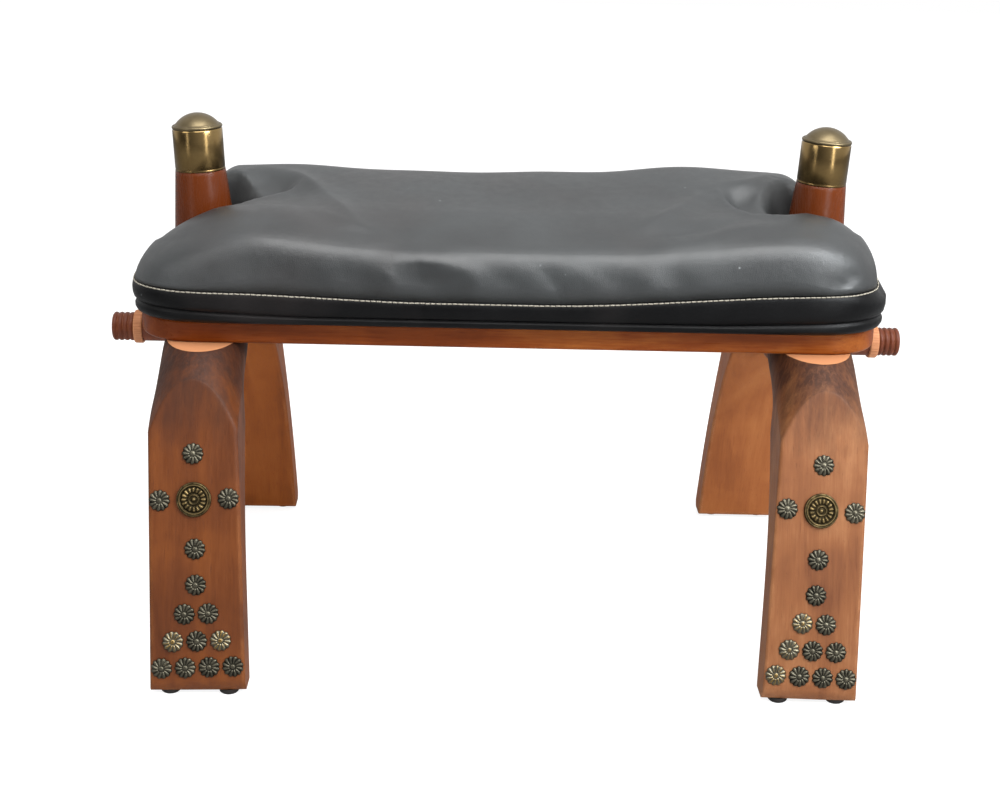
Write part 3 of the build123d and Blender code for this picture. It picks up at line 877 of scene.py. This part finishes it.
def beside_line(x, y, line):
    """Place along a line as a share of its length, and distance to its left, seen from above."""
    line = np.asarray(line, float)
    lengths = np.hypot(*np.diff(line, axis=0).T)
    best, along, aside, passed = np.inf, 0.0, 0.0, 0.0
    for index, length in enumerate(lengths):
        way_x, way_y = (line[index + 1] - line[index]) / length
        from_x, from_y = x - line[index][0], y - line[index][1]
        low = -np.inf if index == 0 else 0.0
        high = np.inf if index == len(lengths) - 1 else length
        held = np.clip(from_x * way_x + from_y * way_y, low, high)
        off_x, off_y = from_x - held * way_x, from_y - held * way_y
        gap = np.hypot(off_x, off_y)
        closer = gap < best
        best = np.where(closer, gap, best)
        along = np.where(closer, (passed + held) / lengths.sum(), along)
        aside = np.where(closer, np.copysign(gap, way_x * off_y - way_y * off_x), aside)
        passed += length
    return along, aside


def ridge(x, y, line, width, rise, sharpness):
    """Soft fold along a line, highest in its middle."""
    along, aside = beside_line(x, y, line)
    fade = smooth(along, -0.15, 0.25) * (1 - smooth(along, 0.75, 1.2))
    return rise * fade * np.exp(-np.abs(aside / width) ** (2 * sharpness))


def pocket(x, y, line, reach, depth):
    """Hollow on the left of a crisp rim, which lies in a shallow dip."""
    along, aside = beside_line(x, y, line)
    fade = smooth(along, -0.16, 0.16) * (1 - smooth(along, 0.80, 1.15))
    hollow = smooth(aside, -2.0, 14) * (1 - smooth(aside, reach * 0.5, reach))
    rim = 2.0 * np.exp(-np.abs(aside / 6) ** 1.3) - 5.0 * np.exp(-(aside / 26) ** 2)
    return fade * (rim - depth * hollow)


# Pockets: rim, reach and depth
POCKETS = (
    (((-225, -44), (-200, -20), (-174, 12)), 60, 9),
    (((171, 10), (180, -22), (192, -41), (222, -50)), 50, 8),
)

# Folds: line, half width, rise and sharpness
RIDGES = (
    (((-186, 40), (-176, 30), (-160, 6), (-142, -28), (-124, -60)), 9, 3.2, 0.7),
    (((-186, -14), (-140, -66)), 15, -1.3, 1.0),
    (((-158, -46), (-128, -66), (-92, -80)), 9, 1.6, 0.8),
    (((172, 8), (154, 0), (135, -24), (105, -56)), 9, 3.0, 0.7),
    (((188, -44), (160, -62), (100, -70)), 9, -2.2, 0.8),
    (((196, -66), (150, -80), (112, -84)), 9, 1.2, 1.0),
    (((226, 52), (192, 20), (170, 6)), 8, 2.2, 0.8),
    (((199, 24), (208, -12)), 7, 2.4, 1.0),
)


def folds(x, y):
    """Pockets behind the front lobes, folds from the posts into the seat, and soft waves."""
    height = 0.0
    for fold in POCKETS:
        height = height + pocket(x, y, *fold)
    for fold in RIDGES:
        height = height + ridge(x, y, *fold)
    waves = 0.8 * np.sin(x / 31 + 0.6) * np.sin(y / 27 + x / 90) + 0.5 * np.sin(x / 17 - y / 40 + 1.3)
    middle = 1 - smooth(np.abs(x), 190, 260)
    edge = 1 - smooth(np.abs(y), 70, 92)
    return height + waves * middle * edge


# Puckers above the front seam: place along X, height, half length, half width, tilt in degrees, depth
PUCKERS = (
    (-96, 303, 12, 9, 12, 4.6), (-88, 293, 22, 4, 4, -2.4), (-64, 307, 15, 7, -14, -2.6),
    (-46, 300, 12, 5, 0, -2.4), (-30, 303, 8, 4.5, 0, 2.0), (-120, 305, 14, 8, -16, -1.6),
    (-140, 306, 20, 7, 10, 1.2), (-172, 300, 26, 6, 4, -1.2), (-6, 304, 18, 6, -8, -1.2),
    (14, 310, 20, 6, -12, 1.0), (36, 303, 15, 5.5, -38, -2.2), (47, 296, 9, 5, -14, 2.2),
    (60, 308, 20, 7, -26, 1.5), (84, 301, 12, 6, 0, -1.4), (106, 304, 13, 12, 0, 2.4),
    (127, 307, 16, 11, 76, -1.2), (146, 305, 14, 9, 10, 0.8), (190, 299, 42, 5, 2, -1.6),
    (258, 310, 16, 3.6, 10, -3.0), (266, 305, 15, 3.0, 10, 0.9),
)

# Crisp fold over the largest pucker: places along X and their heights, and how far it stands out
FOLD_LINE = ((-118, 306), (-104, 311), (-90, 316), (-72, 318), (-54, 316), (-34, 310), (-14, 304), (4, 299))
FOLD_STAND = 2.6

# Share of a pucker's depth that goes forward, and that goes up
PUCKER_FORWARD = 0.8
PUCKER_UP = 0.6


def pucker(points):
    """Push the front of the top panel in and out at its puckers."""
    x, y, z = points.T
    push = np.zeros(len(points))
    for place_x, place_z, long, wide, tilt, depth in PUCKERS:
        angle = math.radians(tilt)
        along = (x - place_x) * math.cos(angle) + (z - place_z) * math.sin(angle)
        aside = -(x - place_x) * math.sin(angle) + (z - place_z) * math.cos(angle)
        push += depth * np.exp(-(along / long) ** 2 - (aside / wide) ** 2)
    line_x, line_z = np.array(FOLD_LINE).T
    over = z - np.interp(x, line_x, line_z)
    fade = smooth(x, line_x[0], line_x[0] + 26) * (1 - smooth(x, line_x[-1] - 34, line_x[-1]))
    shape = np.where(over > 0, np.exp(-(over / 9) ** 2), np.exp(-np.abs(over / 4.0) ** 1.5))
    push += FOLD_STAND * fade * shape
    push *= smooth(-y, 30, 70) * smooth(z - seam_height(x, y), 0.5, 6)
    points[:, 1] -= push * PUCKER_FORWARD
    points[:, 2] += push * PUCKER_UP
    return points


def drawn_in(points):
    """The rear corners are pulled toward the posts, and the front ones a little, beside the notch."""
    x, y = points[:, 0], points[:, 1]
    reach = np.where(x < 0, LEFT_DRAW, RIGHT_DRAW)
    rear = reach * smooth(y, -6, 46) * smooth(np.abs(x), 205, 300)
    mouth = MOUTH_DRAW * (1 - smooth(np.abs(y), 33, 66)) * smooth(np.abs(x), 240, 300) * (y < 0)
    points[:, 0] -= np.sign(x) * (rear + mouth)
    return points


def end_tuck(points, share=0.0):
    """The seam of the right end lies inside the strip below it."""
    points[:, 0] -= END_TUCK * (1 - share) * smooth(points[:, 0], 232, 300)
    return points


def top_panel(line, outward):
    """Points and faces of the top, whose first points are the outline."""
    ring = np.vstack([line - outward * depth for depth in EDGE_ROWS])
    distance, _ = nearest(ring, line)
    ring = ring[distance > np.repeat(EDGE_ROWS, len(line)) * ROW_SLACK]
    columns = np.arange(-HALF_LENGTH, HALF_LENGTH + GRID_STEP, GRID_STEP)
    lines = np.arange(-HALF_DEPTH, HALF_DEPTH + GRID_STEP, GRID_STEP * 0.866)
    grid = [(x + (GRID_STEP / 2 if index % 2 else 0), y) for index, y in enumerate(lines) for x in columns]
    grid = np.array(grid)
    distance, index = nearest(grid, line)
    inside = ((grid - line[index]) * outward[index]).sum(1) < 0
    plan = np.vstack([line, ring, grid[inside & (distance > GRID_CLEAR)]])
    border = list(range(len(line)))
    found = delaunay_2d_cdt([Vector(p) for p in plan], [], [border], 1, 1e-6)
    plan = np.array([tuple(p) for p in found[0]])
    faces = [tuple(face) for face in found[2]]
    distance, index = nearest(plan, line)
    edge = distance < SAME_PLACE
    spread = EDGE_BULGE * np.sin(np.pi * np.clip(distance / EDGE_BULGE_REACH, 0, 1)) * ~edge
    near_notch = (np.abs(plan[:, 0]) > 195) & (np.abs(plan[:, 1]) < 45)
    spread[near_notch] *= 0.3
    heights = top_height(plan[:, 0], plan[:, 1])
    heights[edge] = seam_height(plan[edge, 0], plan[edge, 1])
    shifted = plan + outward[index] * spread[:, None]
    return end_tuck(pucker(np.column_stack([shifted, heights]))), faces


# Side of the cushion: how far it stands out of the outline, and its height as a share of
# the strip (from the upper seam down to the lower one), then of the welt under it
STRIP_SHAPE = (
    (-0.9, 0.0), (0.5, 0.06), (1.7, 0.2), (2.3, 0.42), (2.1, 0.66), (1.2, 0.86), (-0.6, 0.97), (-1.6, 1.0),
)
WELT_SHAPE = ((-0.5, 0.08), (0.5, 0.3), (0.4, 0.6), (-1.0, 0.86), (-3.6, 1.0))


def side_rows(line, outward):
    """Rings of points from the upper seam down to the flat bottom."""
    x, y = line.T
    upper = seam_height(x, y)
    lower = lower_seam_height(x)
    rows = []
    for stand, share in STRIP_SHAPE:
        row = np.column_stack([line + outward * stand, upper + (lower - upper) * share])
        rows.append(end_tuck(row, float(smooth(share, 0.0, 0.5))))
    for stand, share in WELT_SHAPE:
        rows.append(np.column_stack([line + outward * stand, lower + (CUSHION_BOTTOM - lower) * share]))
    return rows


def cushion_mesh(line, outward):
    """Points and faces of the whole closed cushion, and the first face of its side."""
    points, faces = top_panel(line, outward)
    side_start = len(faces)
    sewn = end_tuck(np.column_stack([line, seam_height(*line.T)]))
    rings = [[int(np.argmin(np.linalg.norm(points - p, axis=1))) for p in sewn]]
    rows = side_rows(line, outward)
    for index in range(len(rows)):
        start = len(points) + len(line) * index
        rings.append(range(start, start + len(line)))
    faces += flipped(bands(rings))
    flat = [Vector(p[:2]) for p in rows[-1]]
    found = delaunay_2d_cdt(flat, [], [list(range(len(line)))], 1, 1e-6)
    match = [rings[-1][origin[0]] for origin in found[3]]
    faces += [tuple(match[index] for index in reversed(face)) for face in found[2]]
    return drawn_in(np.vstack([points, *rows])), faces, side_start


def stitch(start, end):
    """One stitch: a short thread with drawn-in ends."""
    way = Vector(end) - Vector(start)
    shape = ((0, 0), (0.7, 0.03), (1, 0.2), (1, 0.8), (0.7, 0.97), (0, 1))
    profile = [(THREAD_RADIUS * width, way.length * share) for width, share in shape]
    points, faces = lathe(profile, STITCH_SIDES)
    return place(points, axis_matrix(start, way)), faces


def stitches(line, outward):
    """Row of stitches beside the upper seam."""
    row = line + outward * STITCH_STAND
    closed = np.vstack([row, row[:1]])
    along = lengths_along(closed)
    heights = seam_height(closed[:, 0], closed[:, 1]) - STITCH_DROP
    count = int(along[-1] / STITCH_PITCH)
    parts = []
    draws = random.Random(7)
    for index in range(count):
        first = index * along[-1] / count
        ends = []
        for mark in (first, first + STITCH_LENGTH):
            x, y = (np.interp(mark, along, closed[:, axis]) for axis in (0, 1))
            z = np.interp(mark, along, heights) + draws.uniform(-STITCH_JITTER, STITCH_JITTER)
            ends.append((x, y, z))
        parts.append(stitch(*drawn_in(end_tuck(np.array(ends)))))
    return joined(parts)


# Stage

FLOOR_REACH = 6000.0
FLOOR_WHITE = (0.78, 0.78, 0.78, 1)
FLOOR_DIM = (0.30, 0.30, 0.30, 1)
FLOOR_GLOW = 0.87
WHITE = (1, 1, 1, 1)

# Lamps: name, place, what it points at, width and height, watts, colour
LAMPS = (
    ("key", (1500, -1150, 1500), (0, 0, 250), (800, 800), 43, (0.93, 0.97, 1.0)),
    ("fill", (-1700, -1000, 1300), (0, 0, 200), (700, 700), 5, (1.0, 1.0, 1.0)),
    ("top", (250, -850, 2150), (0, 0, 300), (1900, 1700), 46, (1.0, 1.0, 1.0)),
    ("right_strip", (760, -1000, 600), (0, 0, 330), (130, 1190), 3.2, (0.96, 0.98, 1.0)),
    ("left_strip", (-960, -850, 600), (0, 0, 330), (70, 1190), 0.9, (1.0, 1.0, 1.0)),
)


def stage():
    """White floor and surroundings, soft lamps and the camera."""
    mesh = bpy.data.meshes.new("floor")
    size = FLOOR_REACH * MM
    corners = [(-size, -size, 0), (size, -size, 0), (size, size, 0), (-size, size, 0)]
    mesh.from_pydata(corners, [], [(0, 1, 2, 3)])
    floor = bpy.data.objects.new("floor", mesh)
    bpy.context.scene.collection.objects.link(floor)
    floor.data.materials.append(floor_material())
    world_light()
    for settings in LAMPS:
        lamp(*settings)
    camera()


def floor_material():
    """White floor that the camera sees as the white ground, with the stool's soft shadow.

    What shines sees it darker, so that the black leather stays black.
    """
    shader = Shader("floor_white")
    spread = shader.add("ShaderNodeBsdfDiffuse", FLOOR_WHITE)
    dim = shader.add("ShaderNodeBsdfDiffuse", FLOOR_DIM)
    seen = shader.add("ShaderNodeAddShader", dim, shader.add("ShaderNodeEmission", WHITE, FLOOR_GLOW))
    glossy = shader.add("ShaderNodeLightPath", output="Is Glossy Ray")
    direct = shader.add("ShaderNodeLightPath", output="Is Camera Ray")
    lit = shader.add("ShaderNodeMixShader", glossy, spread, dim)
    shader.add("ShaderNodeOutputMaterial", shader.add("ShaderNodeMixShader", direct, lit, seen))
    return shader.material


def world_light():
    """Surroundings: white as the ground, and a plain soft light that is weaker from the front left."""
    world = bpy.data.worlds.new("studio")
    bpy.context.scene.world = world
    world.use_nodes = True
    nodes = Nodes(world.node_tree)
    way = nodes.add("ShaderNodeTexCoord", output="Generated")
    x, y, z = (nodes.add("ShaderNodeSeparateXYZ", way, output=axis) for axis in "XYZ")
    kinds = ("Is Camera Ray", "Is Glossy Ray", "Is Transmission Ray")
    direct, glossy, through = (nodes.add("ShaderNodeLightPath", output=kind) for kind in kinds)
    behind = y.span(-0.35, 0.35)
    front = x.span(-0.7, 1.0, 0.10, 0.75) * (1.0 - behind)
    light = front + behind * x.span(-0.5, 1.0, 0.50, 0.90) + z.span(0.3, 0.95, 0.0, 0.35)
    backdrop = y.span(-0.05, 0.25, 0.0, 0.62) * nodes.math("MAXIMUM", glossy, through)
    seen = nodes.math("MAXIMUM", direct, backdrop)
    level = light * (1.0 - seen) + seen
    nodes.add("ShaderNodeOutputWorld", nodes.add("ShaderNodeBackground", WHITE, level))


def lamp(name, spot, aim, size, power, colour):
    """Soft lamp of a width and a height in millimetres, and a power in watts."""
    data = bpy.data.lights.new(name, "AREA")
    data.color = colour
    data.shape = "RECTANGLE"
    data.size, data.size_y = (side * MM for side in size)
    data.energy = power
    holder = bpy.data.objects.new(name, data)
    holder.location = Vector(spot) * MM
    direction = (Vector(aim) - Vector(spot)) * MM
    holder.rotation_euler = direction.to_track_quat("-Z", "Y").to_euler()
    bpy.context.scene.collection.objects.link(holder)


def camera():
    """Camera at the photograph's place and angle."""
    yaw, pitch, roll = (math.radians(a) for a in (CAMERA_YAW, CAMERA_PITCH, CAMERA_ROLL))
    turn = Matrix.Rotation(-yaw, 4, "Z") @ Matrix.Rotation(math.pi / 2 - pitch, 4, "X")
    data = bpy.data.cameras.new("camera")
    data.sensor_width = SENSOR_WIDTH
    data.lens = FOCAL_PIXELS * SENSOR_WIDTH / IMAGE_WIDTH
    eye = bpy.data.objects.new("camera", data)
    eye.matrix_world = Matrix.Translation(Vector(CAMERA_PLACE) * MM) @ turn @ Matrix.Rotation(roll, 4, "Z")
    bpy.context.scene.collection.objects.link(eye)
    bpy.context.scene.camera = eye
    bpy.context.scene.view_settings.view_transform = "Standard"


# The stool

def finish_node(node, material):
    """Give a carried-over node its material."""
    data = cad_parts[node].data
    data.materials.clear()
    data.materials.append(material)


def dress_wood():
    """Legs, rails and the hidden wood keep their own meshes. Gives back the unstained wood."""
    for (side, end), colours in LEG_COLOURS_AND_PAINTED_LIGHT.items():
        name = side + "_" + end + "_leg"
        turn = (LEG_SLOPE if end == "front" else -LEG_SLOPE, 0, 0)
        look = {"leg": True, "roughness": 0.48, "specular": 0.30, "bevel": 0.0045}
        finish_node(name, wood(name + "_wood", colours, turn, 2, **look))
    rail = wood("rail_wood", RAIL_COLOURS, (0, 0, 0), 0, roughness=0.3, specular=0.14)
    finish_node("front_rail", rail)
    finish_node("rear_rail", rail)
    bare = raw_wood("raw_wood")
    for side in ("left", "right"):
        finish_node(side + "_frame_tenon", bare)
    return bare


def dress_stretcher(bare):
    """Stretcher with its reeded ends, and the two collars."""
    low, high = (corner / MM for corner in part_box("stretcher"))
    ring_low, ring_high = (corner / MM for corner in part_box("collars"))
    middle = (0, (low.y + high.y) / 2, (low.z + high.z) / 2)
    radius = (high.z - low.z) / 2
    reach = [abs(corner.x) for corner in corners_of("collars")]
    ring_start, ring_end = min(reach), max(reach)
    points, faces = both_ends(stretcher_profile(high.x, ring_end, radius), middle)
    wood_brown = wood("stretcher_wood", STRETCHER_COLOURS, (0, 0, 0), 0)
    bar = add_mesh("stretcher_bar", points, faces, wood_brown, "frame", sharp=60)
    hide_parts("stretcher")
    ring_radius = (ring_high.z - ring_low.z) / 2
    points, faces = both_ends(collar_profile(ring_start, ring_end, ring_radius, radius + 0.1), middle)
    rings = add_mesh("collar_rings", points, faces, bare, "frame", sharp=60)
    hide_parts("collars")


def dress_brass():
    """Rosettes, medallions, ferrules and caps."""
    steel_like = antique_brass("rosette_brass", rgb(32, 31, 27), rgb(112, 107, 92), 0.40)
    medal = antique_brass("medallion_brass", rgb(58, 50, 34), rgb(180, 154, 104), 0.38)
    tube = antique_brass("ferrule_brass", rgb(112, 90, 56), rgb(164, 138, 92), 0.14, 0.07)
    dome = antique_brass("cap_brass", rgb(92, 80, 58), rgb(140, 126, 98), 0.32, 0.10)
    small = head(rosette_point, PETALS, ROSETTE_RINGS)
    large = head(medallion_point, MEDALLION_PETALS, MEDALLION_RINGS)
    for side in ("left", "right"):
        for end in ("front", "rear"):
            leg = side + "_" + end
            flowers(leg + "_flowers", [leg + "_rosettes"], small, steel_like)
    flowers("large_flowers", ["medallions"], large, medal)
    points, faces = joined([brass_top(side, tube) for side in ("left", "right")])
    caps = add_mesh("cap_domes", points, faces, dome, "frame", sharp=50)
    store_wear(caps, np.full(len(points), CAP_POLISH))
    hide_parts("caps")


def dress_cushion():
    """Leather cushion with its seams and cream stitches."""
    hide = leather("black_leather", rgb(30, 32, 33), rgb(44, 47, 48), 0.43, 0.85)
    # The side strip is a shaded copy of the same leather: its far darker colour is painted shade on the
    # steep sides, and it also shines less.
    strip = leather("black_leather_strip_painted_shade", rgb(5, 5, 6), rgb(12, 12, 13), 0.34, 0.16)
    line, outward = cushion_outline()
    points, faces, side_start = cushion_mesh(line, outward)
    cushion = add_mesh("cushion", points, faces, hide, "cushion")
    cushion.data.materials.append(strip)
    for polygon in cushion.data.polygons[side_start:]:
        polygon.material_index = 1
    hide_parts("cushion_cover", "cushion_filling")
    points, faces = stitches(line, outward)
    row = add_mesh("cushion_stitches", points, faces, thread("cream_thread"), "cushion")


def dress_small():
    """Glides and screws keep their own meshes."""
    finish_node("glides", plastic("glide_plastic", rgb(26, 22, 20), 0.5))
    finish_node("rail_screws", steel("screw_steel"))


bare_wood = dress_wood()
dress_stretcher(bare_wood)
dress_brass()
dress_cushion()
dress_small()
stage()
